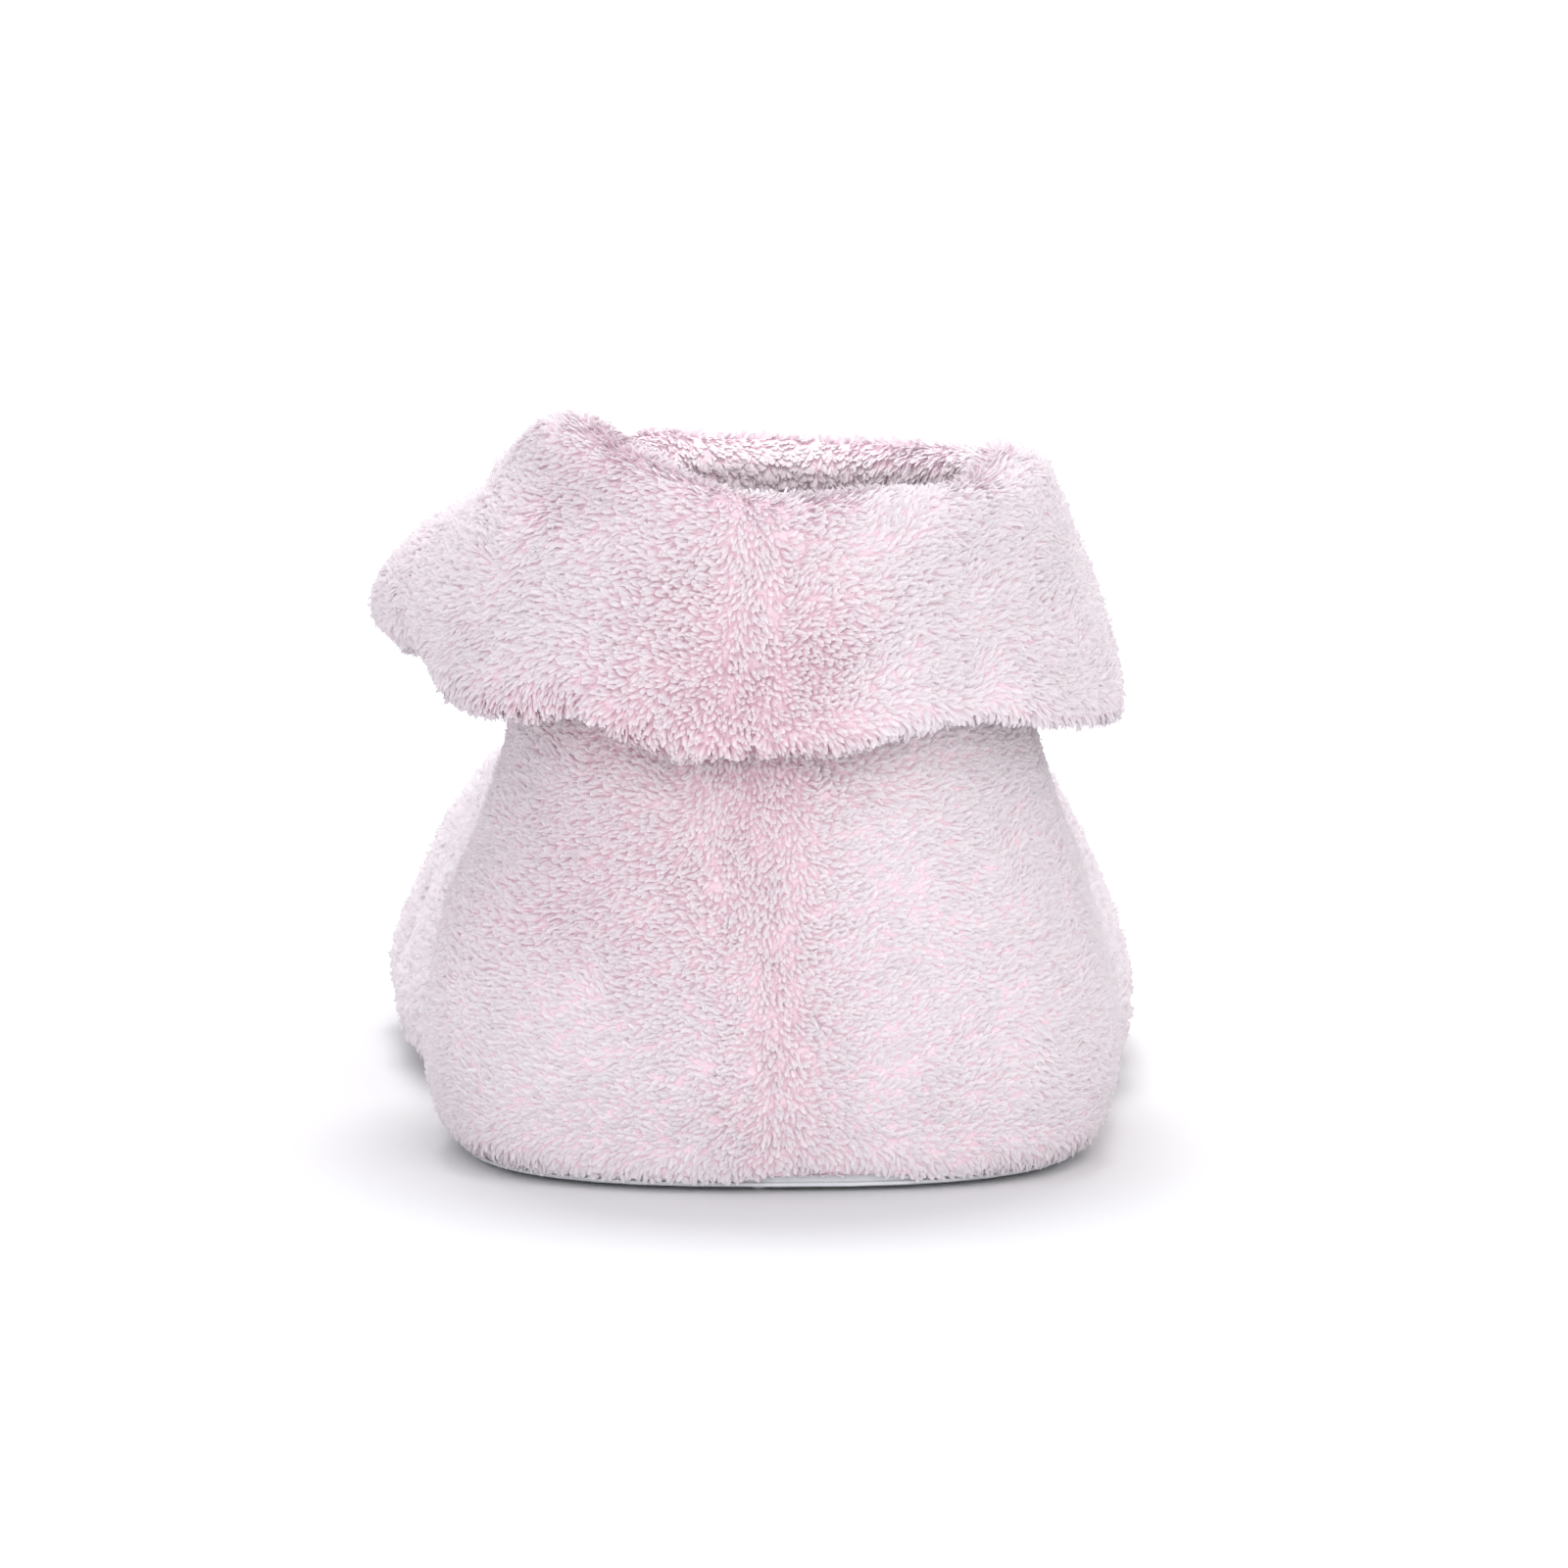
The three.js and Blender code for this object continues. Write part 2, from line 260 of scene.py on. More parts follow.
def cuff_columns(turn):
    """The cuff's section at each turn, from the facing's lower end over the fold to the hem and back."""
    out = level_out(turn, np.full_like(turn, LAST_ROW))
    edge = body_point(turn, np.full_like(turn, LAST_ROW))
    high = edge - WALL * out
    below = np.full_like(turn, LAST_ROW - 1)
    low = body_point(turn, below) - WALL * outwards(turn, below)

    def inside(down, depth):
        t = 1 - down / (high[:, 2] - low[:, 2])
        return mix(low, high, t[:, None]) - depth * out

    def flap(share, depth):
        height = mix(edge[:, 2], hem_height(turn), share)
        swell = np.maximum(0, CUFF_BELLY * cuff_at("belly", turn) * 4 * share * (1 - share))
        stand = FLAP_SEAT + CUFF_FLARE * cuff_at("flare", turn) * share + swell
        point = body_point(turn, row_at_height(turn, np.minimum(height, edge[:, 2])))
        point = point + (stand + depth)[:, None] * out
        point[:, 2] = height
        return point

    def crest(depth, height):
        point = edge + depth * out
        point[:, 2] = edge[:, 2] + height
        return point

    facing = SEAT + FACING_THICKNESS
    top = SEAT + ROLL_THICKNESS
    shoulder = FLAP_SEAT + FLAP_TOP_THICKNESS
    column = [
        inside(FACING_DEPTH, SEAT),
        inside(FACING_DEPTH + 0.3 * FACING_THICKNESS, SEAT + 0.6 * FACING_THICKNESS),
        inside(FACING_DEPTH * 0.8, facing),
        inside(0, facing),
        crest(-WALL - facing * 0.75, top * 0.55),
        crest(-WALL - facing * 0.2, top * 0.87),
        crest(-WALL / 2, top),
        crest(shoulder * 0.15, top * 0.92),
        crest(shoulder * 0.7, top * 0.6),
    ]
    for i in range(FLAP_STEPS):
        share = i / FLAP_STEPS
        column.append(flap(share, mix(FLAP_TOP_THICKNESS, HEM_THICKNESS, smooth(share))))
    hem = 1 + HEM_THICKNESS * 0.3 / CUFF_DROP
    column.append(flap(1, HEM_THICKNESS * 0.88))
    column.append(flap(hem, HEM_THICKNESS * 0.5))
    column.append(flap(1, HEM_THICKNESS * 0.12))
    for i in reversed(range(FLAP_STEPS)):
        column.append(flap(i / FLAP_STEPS, 0))
    column.append(crest(FLAP_SEAT, SEAT))
    column.append(crest(-WALL - SEAT, SEAT))
    return np.array(column)


# Places on the cuff's section, as numbers of its points
FACING_LOW, FACING_TOP, CREST, FLAP_TOP, HEM_LOW = 1, 3, 6, 9, 19


def waves(seed, points, size, count=7):
    """Slow waves that stand in for chance over a few millimetres: the same at each run."""
    rng = np.random.default_rng(seed)
    total = np.zeros(points.shape[:-1])
    for _ in range(count):
        along = unit(rng.normal(size=3)) * (2 * math.pi / (size * rng.uniform(0.7, 1.5)))
        total += np.sin(points @ along + rng.uniform(0, 2 * math.pi))
    return total / math.sqrt(count / 2)


# Centre-back seam: height above the floor, then its place across the heel
SEAM = np.array(
    [
        [-5, 4.0],
        [2, 3.4],
        [6, 1.5],
        [15, 0.9],
        [28, 0.2],
        [46, -2.2],
        [56, -4.0],
        [75, -2.5],
        [120, -2.0],
    ]
)
HEEL_BACK = -20
FAR_AWAY = 99.0


def from_seam(points):
    """Distance across the heel from the seam's line, below 0 at its left."""
    return points[..., 0] - np.interp(points[..., 2], SEAM[:, 0], SEAM[:, 1])


def seam_offset(points):
    """The same distance on the heel's back, and a large one on the rest of the slipper."""
    return np.where(points[..., 1] < HEEL_BACK, from_seam(points), FAR_AWAY)


# Soft troughs (below 0) and ridges (above 0): x, y, z, reach along x, y, z, depth
BODY_DENTS = [
    (-27, -36, 39, 10, 12, 9, -1.6),
    (-36, -20, 52, 9, 12, 6, -1.0),
    (24, -38, 47, 9, 10, 6, -0.6),
    (30, -32, 22, 14, 14, 12, 0.5),
    (-20, -42, 16, 14, 12, 9, 0.5),
    (-44, 60, 38, 8, 22, 12, -1.0),
    (46, 58, 36, 8, 22, 12, -0.8),
    (-6, 96, 62, 26, 8, 7, -0.8),
    (4, 112, 58, 24, 7, 7, 0.6),
    (-24, 150, 44, 12, 22, 12, -0.6),
    (20, 165, 40, 12, 20, 10, -0.5),
]
CUFF_DENTS = [
    (-27, -34, 91, 8, 12, 4.5, -2.4),
    (-34, -30, 84, 12, 12, 5, 0.9),
    (-12, -46, 84, 10, 10, 6, 0.5),
    (-2, -50, 70, 5, 10, 6, -0.9),
    (16, -48, 66, 12, 10, 5, 0.8),
    (32, -40, 78, 7, 14, 12, -0.7),
    (-30, -42, 70, 10, 10, 5, 0.8),
    (-16, -46, 62, 9, 8, 4, 0.7),
    (-50, 20, 76, 12, 12, 7, -1.0),
    (46, 10, 76, 12, 12, 8, -0.8),
    (44, 40, 80, 12, 14, 8, 0.6),
    (-24, 66, 80, 12, 10, 10, -0.8),
    (16, 72, 84, 10, 10, 8, -0.7),
]


# Slow waves over the cloth: seed, size and depth
BODY_WAVES = 11, 34, 0.35
CUFF_WAVES = 23, 30, 0.55


def swellings(points, rows):
    """Sum of soft round swellings, each with its place, its reach along x, y and z, and its amount."""
    total = np.zeros(points.shape[:-1])
    for *place_and_reach, amount in rows:
        place, reach = place_and_reach[:3], place_and_reach[3:]
        away = ((points - place) / reach) ** 2
        total = total + amount * np.exp(-away.sum(-1))
    return total


def relief(points, dents, seed, size, depth):
    """How far the cloth stands out at each place, from slow waves and from the dents."""
    return depth * waves(seed, points, size) + swellings(points, dents)


def grid_normals(grid):
    """Normals of a grid of level rings that rise: they point outwards, or inwards where rings go down."""
    around = np.roll(grid, -1, 1) - np.roll(grid, 1, 1)
    up = np.gradient(grid, axis=0)
    return unit(np.cross(around, up))


def resample(column, places):
    """Rings of a closed section at places between its points."""
    return np.array([cubic(column, np.array(p, float), True) for p in places])


# Meshes


def add_object(name, data):
    made = bpy.data.objects.new(name, data)
    bpy.context.scene.collection.objects.link(made)
    return made


def mesh_piece(name, verts, faces, material, values=None):
    """A mesh object from arrays: verts in millimetres, faces as rows of 3 or 4 vertex numbers."""
    verts = np.ascontiguousarray(verts, np.float32) * MM
    mesh = bpy.data.meshes.new(name)
    mesh.vertices.add(len(verts))
    mesh.vertices.foreach_set("co", verts.ravel())
    loops, starts = [], []
    total = 0
    for block in faces:
        block = np.asarray(block, np.int32)
        loops.append(block.ravel())
        starts.append(total + np.arange(len(block), dtype=np.int32) * block.shape[1])
        total += block.size
    loops, starts = np.concatenate(loops), np.concatenate(starts)
    mesh.loops.add(len(loops))
    mesh.loops.foreach_set("vertex_index", loops)
    mesh.polygons.add(len(starts))
    mesh.polygons.foreach_set("loop_start", starts)
    mesh.update(calc_edges=True)
    mesh.validate()
    mesh.shade_smooth()
    for key, value in (values or {}).items():
        layer = mesh.attributes.new(key, "FLOAT", "POINT")
        layer.data.foreach_set("value", np.ascontiguousarray(value, np.float32))
    mesh.materials.append(material)
    piece = add_object(name, mesh)
    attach(piece, "root")
    return piece


def grid_faces(rows, columns, looped=False):
    """Quads of a ring-by-ring grid, closed along its columns and, if looped, along its rows."""
    r = np.arange(rows if looped else rows - 1)[:, None]
    c = np.arange(columns)[None, :]
    near, far = (r % rows) * columns, ((r + 1) % rows) * columns
    here, there = c, (c + 1) % columns
    quads = [near + here, near + there, far + there, far + here]
    return np.stack([np.broadcast_to(q, (r.shape[0], columns)) for q in quads], -1).reshape(-1, 4)


# Materials


SHEEN_ROUGHNESS = 0.5
SPECULAR = 0.2


def shader(name, roughness, sheen=0.0, sheen_tint=(1, 1, 1)):
    """A new material with its node tree and its main shader."""
    material = bpy.data.materials.new(name)
    material.use_nodes = True
    tree = material.node_tree
    principled = tree.nodes["Principled BSDF"]
    principled.inputs["Roughness"].default_value = roughness
    principled.inputs["Sheen Weight"].default_value = sheen
    principled.inputs["Sheen Roughness"].default_value = SHEEN_ROUGHNESS
    principled.inputs["Sheen Tint"].default_value = (*sheen_tint, 1)
    principled.inputs["Specular IOR Level"].default_value = SPECULAR
    return material, tree, principled


def node(tree, kind, **settings):
    made = tree.nodes.new(kind)
    for key, value in settings.items():
        if key in made.inputs:
            made.inputs[key].default_value = value
        else:
            setattr(made, key, value)
    return made


def ramp(tree, factor, stops):
    made = tree.nodes.new("ShaderNodeValToRGB")
    elements = made.color_ramp.elements
    while len(elements) < len(stops):
        elements.new(0.5)
    for element, (place, colour) in zip(elements, stops):
        element.position = place
        element.color = (*colour, 1)
    tree.links.new(factor, made.inputs["Fac"])
    return made.outputs["Color"]


# Sockets of the colour mix
MIX_FACTOR, MIX_A, MIX_B, MIX_RESULT = 0, 6, 7, 2


def blend_colour(tree, a, b, factor, mode="MIX"):
    made = tree.nodes.new("ShaderNodeMix")
    made.data_type = "RGBA"
    made.blend_type = mode
    for value, place in ((a, MIX_A), (b, MIX_B), (factor, MIX_FACTOR)):
        if hasattr(value, "links"):
            tree.links.new(value, made.inputs[place])
        elif place == MIX_FACTOR:
            made.inputs[place].default_value = value
        else:
            made.inputs[place].default_value = (*value, 1)
    return made.outputs[MIX_RESULT]


def noise(tree, scale, detail=2.0, roughness=0.5):
    place = tree.nodes.new("ShaderNodeTexCoord")
    made = node(tree, "ShaderNodeTexNoise", Scale=scale, Detail=detail, Roughness=roughness)
    tree.links.new(place.outputs["Object"], made.inputs["Vector"])
    return made.outputs["Fac"]


def bump(tree, principled, height, strength, distance):
    made = node(tree, "ShaderNodeBump", Strength=strength, Distance=distance)
    tree.links.new(height, made.inputs["Height"])
    tree.links.new(made.outputs["Normal"], principled.inputs["Normal"])


def maths(tree, operation, *values):
    made = tree.nodes.new("ShaderNodeMath")
    made.operation = operation
    for place, value in enumerate(values):
        if hasattr(value, "links"):
            tree.links.new(value, made.inputs[place])
        else:
            made.inputs[place].default_value = value
    return made.outputs[0]


def attribute(tree, name):
    return node(tree, "ShaderNodeAttribute", attribute_name=name).outputs["Fac"]


def fibres_along(tree, tint, across):
    """Fine streaks that run along each lock."""
    lane = tree.nodes.new("ShaderNodeCombineXYZ")
    lanes = ((across, 2.2), (tint, 90.0), (attribute(tree, "shade_tone"), 0.8))
    for place, (value, scale) in enumerate(lanes):
        tree.links.new(maths(tree, "MULTIPLY", value, scale), lane.inputs[place])
    streaks = node(tree, "ShaderNodeTexNoise", Scale=2.0, Detail=2.0)
    tree.links.new(lane.outputs[0], streaks.inputs["Vector"])
    return streaks.outputs["Fac"]


# Shades of single locks, how much painted shade darkens a lock's edges, and the share of light that passes
# through
LOCK_SHADES = [(0.0, (0.95, 0.93, 0.945)), (1.0, (1.0, 1.0, 1.0))]
EDGE_SHADE = 0.22
THROUGH_SHARE = 0.35


def plush_material(name, deep, middle, tip):
    """Pile: painted shade, as deeper pink, at the roots and edges of its locks, paler at their tips, with
    fibres along them.
    """
    material, tree, principled = shader(name, roughness=0.92, sheen=0.3, sheen_tint=(1.0, 0.94, 0.97))
    shade_tone, tint, across = (attribute(tree, key) for key in ("shade_tone", "tint", "across"))
    edge = maths(tree, "POWER", maths(tree, "ABSOLUTE", across), 2.0)
    shade_tone = maths(tree, "SUBTRACT", shade_tone, maths(tree, "MULTIPLY", edge, EDGE_SHADE))
    colour = ramp(tree, shade_tone, [(0.0, deep), (0.5, middle), (0.8, tip)])
    colour = blend_colour(tree, colour, ramp(tree, tint, LOCK_SHADES), 1.0, "MULTIPLY")
    tree.links.new(colour, principled.inputs["Base Color"])
    bump(tree, principled, fibres_along(tree, tint, across), strength=0.5, distance=0.0002)
    through = tree.nodes.new("ShaderNodeBsdfTranslucent")
    tree.links.new(colour, through.inputs["Color"])
    both = node(tree, "ShaderNodeMixShader", Fac=THROUGH_SHARE)
    tree.links.new(principled.outputs["BSDF"], both.inputs[1])
    tree.links.new(through.outputs["BSDF"], both.inputs[2])
    tree.links.new(both.outputs["Shader"], tree.nodes["Material Output"].inputs["Surface"])
    return material


def cloth_material(name, deep, pale):
    """Backing cloth under the pile: clumped, with a fine nap."""
    material, tree, principled = shader(name, roughness=0.95, sheen=0.1, sheen_tint=(1.0, 0.9, 0.94))
    clumps = noise(tree, scale=700.0, detail=3.0, roughness=0.6)
    colour = ramp(tree, clumps, [(0.35, deep), (0.65, pale)])
    tree.links.new(colour, principled.inputs["Base Color"])
    bump(tree, principled, clumps, strength=0.8, distance=0.001)
    return material


WORN = 0.93


def rubber_material(name, colour):
    """Matt rubber, a little darker in patches, with a fine grain."""
    material, tree, principled = shader(name, roughness=0.55)
    grain = noise(tree, scale=1500.0, detail=2.0, roughness=0.6)
    wear = noise(tree, scale=60.0, detail=3.0, roughness=0.6)
    shade = ramp(tree, wear, [(0.3, tuple(WORN * c for c in colour)), (0.7, colour)])
    tree.links.new(shade, principled.inputs["Base Color"])
    bump(tree, principled, grain, strength=0.25, distance=0.0004)
    return material


# Pinks from root to tip, whose deep root pink is painted shade in the pile's gaps, then the backing's two
# pinks and the sole's grey
OUTER_PINKS = (0.94, 0.71, 0.78), (0.965, 0.88, 0.915), (0.97, 0.93, 0.95)
# The lining's pinks are paler at the root: painted light for the shaded inside
LINING_PINKS = (0.94, 0.77, 0.83), (0.97, 0.885, 0.915), (0.975, 0.91, 0.935)
# The backing's pinks are darkened: painted shade where it shows between the locks
BACKING_PINKS = (0.78, 0.58, 0.65), (0.85, 0.69, 0.75)
SOLE_GREY = (0.7, 0.72, 0.75)

plush = plush_material("plush", *OUTER_PINKS)
lining_plush = plush_material("lining_plush", *LINING_PINKS)
backing = cloth_material("backing", *BACKING_PINKS)
rubber = rubber_material("sole_rubber", SOLE_GREY)


# Camera: behind the heel and a little above it
CAMERA_X, CAMERA_BACK, CAMERA_HEIGHT = 1.5, 845, 123
CAMERA_PITCH = math.radians(5.02)

CAMERA_LENS, CAMERA_SENSOR = 144, 36

camera_data = bpy.data.cameras.new("camera")
camera_data.lens = CAMERA_LENS
camera_data.sensor_width = CAMERA_SENSOR
camera = add_object("camera", camera_data)
camera.location = (CAMERA_X * MM, -CAMERA_BACK * MM, CAMERA_HEIGHT * MM)
camera.rotation_euler = (math.pi / 2 - CAMERA_PITCH, 0, 0)
bpy.context.scene.camera = camera


# Cloth under the pile
COLUMNS = 200
BODY_RINGS, LINING_RINGS = 49, 25
SEAM_DEPTH, SEAM_HALF = 0.9, 1.5
FOOT_PILE_SHARE, FOOT_ROWS = 0.6, 1.5
turns = np.arange(COLUMNS) / COLUMNS

# The body's face under the pile, with its dents and the seam's groove
body_turns, body_rows = np.meshgrid(turns, np.linspace(0, LAST_ROW, BODY_RINGS))
body_solid = body_point(body_turns, body_rows)
body_out = outwards(body_turns, body_rows)
pile_here = BODY_PILE * mix(FOOT_PILE_SHARE, 1.0, smooth(body_rows / FOOT_ROWS))
body_grid = body_solid - pile_here[..., None] * body_out
body_grid = body_grid + relief(body_grid, BODY_DENTS, *BODY_WAVES)[..., None] * body_out
seam_groove = SEAM_DEPTH * np.exp(-((seam_offset(body_grid) / SEAM_HALF) ** 2))
body_grid = body_grid - seam_groove[..., None] * body_out

lining_turns, lining_rows = np.meshgrid(turns, np.linspace(1, LAST_ROW, LINING_RINGS))
lining_out = outwards(lining_turns, lining_rows)
lining_grid = body_point(lining_turns, lining_rows) - (WALL - LINING_PILE) * lining_out


def sole_ring(inset, height):
    """A ring inside the body's lower edge, which follows the toe spring."""
    ring = body_point(turns, np.zeros(COLUMNS)) - inset * level_out(turns, np.zeros(COLUMNS))
    ring[:, 2] = height + spring_at(ring[:, 1] + HEEL_SETBACK)
    return ring


# Stretch of the heel's foot where the pile ends higher and the sole's edge shows
BARE_X, BARE_HALF, BARE_HEIGHT, BARE_LIFT = 7.0, 10.0, 1.7, 0.7


def bare_share(points):
    """1 on that stretch and 0 away from it."""
    near = smooth(1.5 - np.abs(points[..., 0] - BARE_X) / BARE_HALF * 1.2)
    return np.where(points[..., 1] < HEEL_BACK, near, 0)


body_grid[0, :, 2] += BARE_LIFT * bare_share(body_grid[0])


def make_body_cloth():
    """Up the body's face, down the lining and out along the seat on the sole."""
    bottom = SOLE_THICKNESS + SEAT
    seat = [sole_ring(WALL, bottom), sole_ring(PILE_OVER_SOLE, bottom)]
    rings = np.concatenate([body_grid, lining_grid[::-1], seat])
    faces = grid_faces(len(rings), COLUMNS, True)
    piece = mesh_piece("upper_cloth", rings.reshape(-1, 3), [faces], backing)
    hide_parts("upper")


cuff_section = cuff_columns(turns)
PLACES_A_POINT = 2
CUFF_PLACES = np.arange(0, len(cuff_section), 1 / PLACES_A_POINT)
cuff_solid = resample(cuff_section, CUFF_PLACES)
cuff_out = -grid_normals(cuff_solid)


# Steps of the hem at the back: place across the heel, reach and lift. Then how far back they begin
HEM_STEPS = [(-25, 4.5, 2.0), (-12, 6.0, -1.4), (22, 12, 0.8)]
HEM_BACK = -15

# Places on the flap between which the hem moves, counted from its top, and the fade at both
HEM_START, HEM_FADE = 4, 5

# Front of the hem, where it is too thin for full pile: place on the flap, how far forward, and share lost
THIN_START, THIN_FADE = 7.5, 1.5
THIN_FORWARD, THIN_RUN = 40, 20
THIN_LOSS = 0.8

# Pile on the section's hidden parts: behind the facing, and behind the flap
BEHIND_FACING, BEHIND_FLAP = 0.2, 0.4


def cuff_pile(place):
    """Pile on the cuff at a place on its section: short on the facing, full on the fold and flap."""
    rising = smooth((place - FACING_TOP) / (CREST - FACING_TOP))
    full = mix(FACING_PILE, CUFF_PILE, rising)
    shown = np.where(place < FACING_LOW, BEHIND_FACING, full)
    return np.where(place > HEM_LOW + 0.5, BEHIND_FLAP, shown)


cuff_place = np.broadcast_to(CUFF_PLACES[:, None], cuff_solid.shape[:2])
thin_hem = smooth((cuff_place - FLAP_TOP - THIN_START) / THIN_FADE)
thin_hem = thin_hem * smooth((cuff_solid[..., 1] - THIN_FORWARD) / THIN_RUN)
pile_depth = cuff_pile(cuff_place) * (1 - THIN_LOSS * thin_hem)
cuff_grid = cuff_solid - pile_depth[..., None] * cuff_out
outer_share = smooth((cuff_place - FACING_TOP) / 3) * smooth((HEM_LOW + 1 - cuff_place) / 1.5)
cuff_shift = outer_share * relief(cuff_grid, CUFF_DENTS, *CUFF_WAVES)
cuff_grid = cuff_grid + cuff_shift[..., None] * cuff_out
past_top = cuff_place - FLAP_TOP - HEM_START
before_top = 2 * HEM_LOW + 1 - FLAP_TOP - HEM_START - cuff_place
hem_share = smooth(past_top / HEM_FADE) * smooth(before_top / HEM_FADE)
behind = cuff_grid[..., 1] < HEM_BACK
across_heel = cuff_grid[..., 0]
hem_lift = sum(lift * np.exp(-(((across_heel - x) / reach) ** 2)) for x, reach, lift in HEM_STEPS)
cuff_grid[..., 2] += hem_share * behind * hem_lift
cuff_normals = -grid_normals(cuff_grid)


def make_cuff_cloth():
    """The whole section of the cuff, closed on itself."""
    faces = grid_faces(len(cuff_grid), COLUMNS, True)[:, ::-1]
    piece = mesh_piece("cuff_cloth", cuff_grid.reshape(-1, 3), [faces], backing)
    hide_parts("cuff")


make_body_cloth()
make_cuff_cloth()


# Pile, made of many small locks


def scatter(grid, density):
    """Places of locks on a grid that closes along its columns: their cells and places inside them."""
    side = np.roll(grid[:-1], -1, 1) - grid[:-1]
    rise = grid[1:] - grid[:-1]
    wanted = np.linalg.norm(np.cross(side, rise), axis=-1) * density[:-1]
    count = np.floor(wanted + RNG.random(wanted.shape)).astype(int)
    row, column = np.nonzero(count)
    repeat = count[row, column]
    row, column = np.repeat(row, repeat), np.repeat(column, repeat)
    return row, column, RNG.random(len(row)), RNG.random(len(row))


def sample(grid, cells):
    """Values of a grid at the places of the locks."""
    row, column, u, v = cells
    after = (column + 1) % grid.shape[1]
    if grid.ndim == 3:
        u, v = u[:, None], v[:, None]
    low = mix(grid[row, column], grid[row, after], u)
    high = mix(grid[row + 1, column], grid[row + 1, after], u)
    return mix(low, high, v)


def on_surface(direction, normal):
    """A direction laid flat on the cloth."""
    return unit(direction - (direction * normal).sum(-1, keepdims=True) * normal)


def turned(direction, normal, angle):
    """A direction turned about the cloth's normal."""
    return direction * np.cos(angle)[:, None] + np.cross(normal, direction) * np.sin(angle)[:, None]


# A lock's outline: how far along it each pair of corners is, and its width there as a share; then its tip
LOCK_ALONG = np.array([0.0, 0.5, 0.84])
LOCK_WIDTH = np.array([0.6, 1.0, 0.78])
LOCK_CORNERS = 7
LOCK_FACES = np.array([[0, 1, 3], [0, 3, 2], [2, 3, 5], [2, 5, 4], [4, 5, 6]])
# Painted shade at each lock's corners: 0 is the deep pink at its root, 1 the pale tip
LOCK_SHADE_TONES = [0.0, 0.0, 0.5, 0.5, 0.84, 0.84, 1.0]
LOCK_SIDES = [-1, 1, -1, 1, -1, 1, 0]
ROOT_DEPTH = 0.3
FLOOR_GAP = 0.25
TIP_JITTER = 0.9
LOCK_ARCH = (0.14, 0.24)
ROUND_OVER = 0.5

# How much locks differ from one another: lean and turn in radians, the rest as shares
LEAN_SPREAD, TURN_SPREAD, TWIST_SPREAD, BEND_SPREAD = 0.11, 0.24, 0.17, 0.12
LENGTH_RANGE, WIDTH_RANGE = (0.8, 1.15), (0.7, 1.2)
SHORTEST = 0.25

# Fine stray fibres: their share of the locks, how much they lean less, turn more, are longer and narrower
FINE_SHARE, FINE_LEAN, FINE_TURN, FINE_LENGTH, FINE_WIDTH = 0.14, 0.08, 1.6, 1.15, 0.28

# Calm pile: how much more it leans and how much less it arches
CALM_LEAN, CALM_ARCH = 0.12, 0.45


def lock_shading(normal, comb, across, face, ahead):
    """Normals at a lock's corners: rounded over from side to side and from its root to its tip."""
    level = smooth((ahead - 0.45) / 0.4)[:, None]
    facing = unit(mix(face, normal, 0.75 * level))
    shading = []
    for t in LOCK_ALONG:
        middle = facing + (0.5 * t - 0.3) * comb
        shading += [middle - ROUND_OVER * across, middle + ROUND_OVER * across]
    shading.append(facing + 0.4 * comb)
    return unit(np.stack(shading, 1))


def locks(root, normal, comb, length, lean, width, calm, lowest=FLOOR_GAP):
    """Locks of pile as corners, shading normals, tints and calm. Each is a rounded leaf that rises from
    its root, arches over and ends level. A share of them are fine stray fibres. Calm pile lies flatter."""
    count = len(root)
    fine = RNG.random(count) < FINE_SHARE
    lean = lean + RNG.normal(0, LEAN_SPREAD, count) - FINE_LEAN * fine + CALM_LEAN * calm
    comb = turned(comb, normal, RNG.normal(0, TURN_SPREAD, count) * np.where(fine, FINE_TURN, 1))
    length = length * RNG.uniform(*LENGTH_RANGE, count) * np.where(fine, FINE_LENGTH, 1)
    ahead, high = np.sin(lean), np.cos(lean)
    drop = -length * (ahead * comb[:, 2] + high * normal[:, 2])
    room = root[:, 2] - spring_at(root[:, 1] + HEEL_SETBACK) - lowest - RNG.uniform(0, TIP_JITTER, count)
    length = length * np.where(drop > room, np.clip(room / np.maximum(drop, 0.01), SHORTEST, 1), 1)
    width = width * RNG.uniform(*WIDTH_RANGE, count) * np.where(fine, FINE_WIDTH, 1)
    arch = length * RNG.uniform(*LOCK_ARCH, count) * (1 - CALM_ARCH * calm)
    across = unit(np.cross(comb, normal))
    across = unit(across + RNG.normal(0, TWIST_SPREAD, count)[:, None] * normal)
    bend = RNG.normal(0, BEND_SPREAD, count) * length

    def spine(t):
        forth = length * ahead * t
        up = length * high * t + arch * 4 * t * (1 - 0.8 * t) * 0.45 - ROOT_DEPTH * (1 - t)
        return root + forth[:, None] * comb + up[:, None] * normal + (bend * t * t)[:, None] * across

    corners = []
    for t, share in zip(LOCK_ALONG, LOCK_WIDTH):
        half = (0.5 * share * width)[:, None] * across
        corners += [spine(t) - half, spine(t) + half]
    corners.append(spine(1.0) - 0.12 * normal)
    corners = np.stack(corners, 1)
    least = FLOOR_GAP + spring_at(corners[..., 1] + HEEL_SETBACK)
    corners[..., 2] = np.maximum(corners[..., 2], least)
    face = unit(np.cross(across, spine(0.8) - spine(0.2)))
    shading = lock_shading(normal, comb, across, face, ahead)
    return corners, shading, RNG.random(count), calm


LOCK_LIMIT = 39500
# How much calm pile lifts the painted shade at its lock roots towards the pale tips
CALM_SHADE_LIFT = 0.5


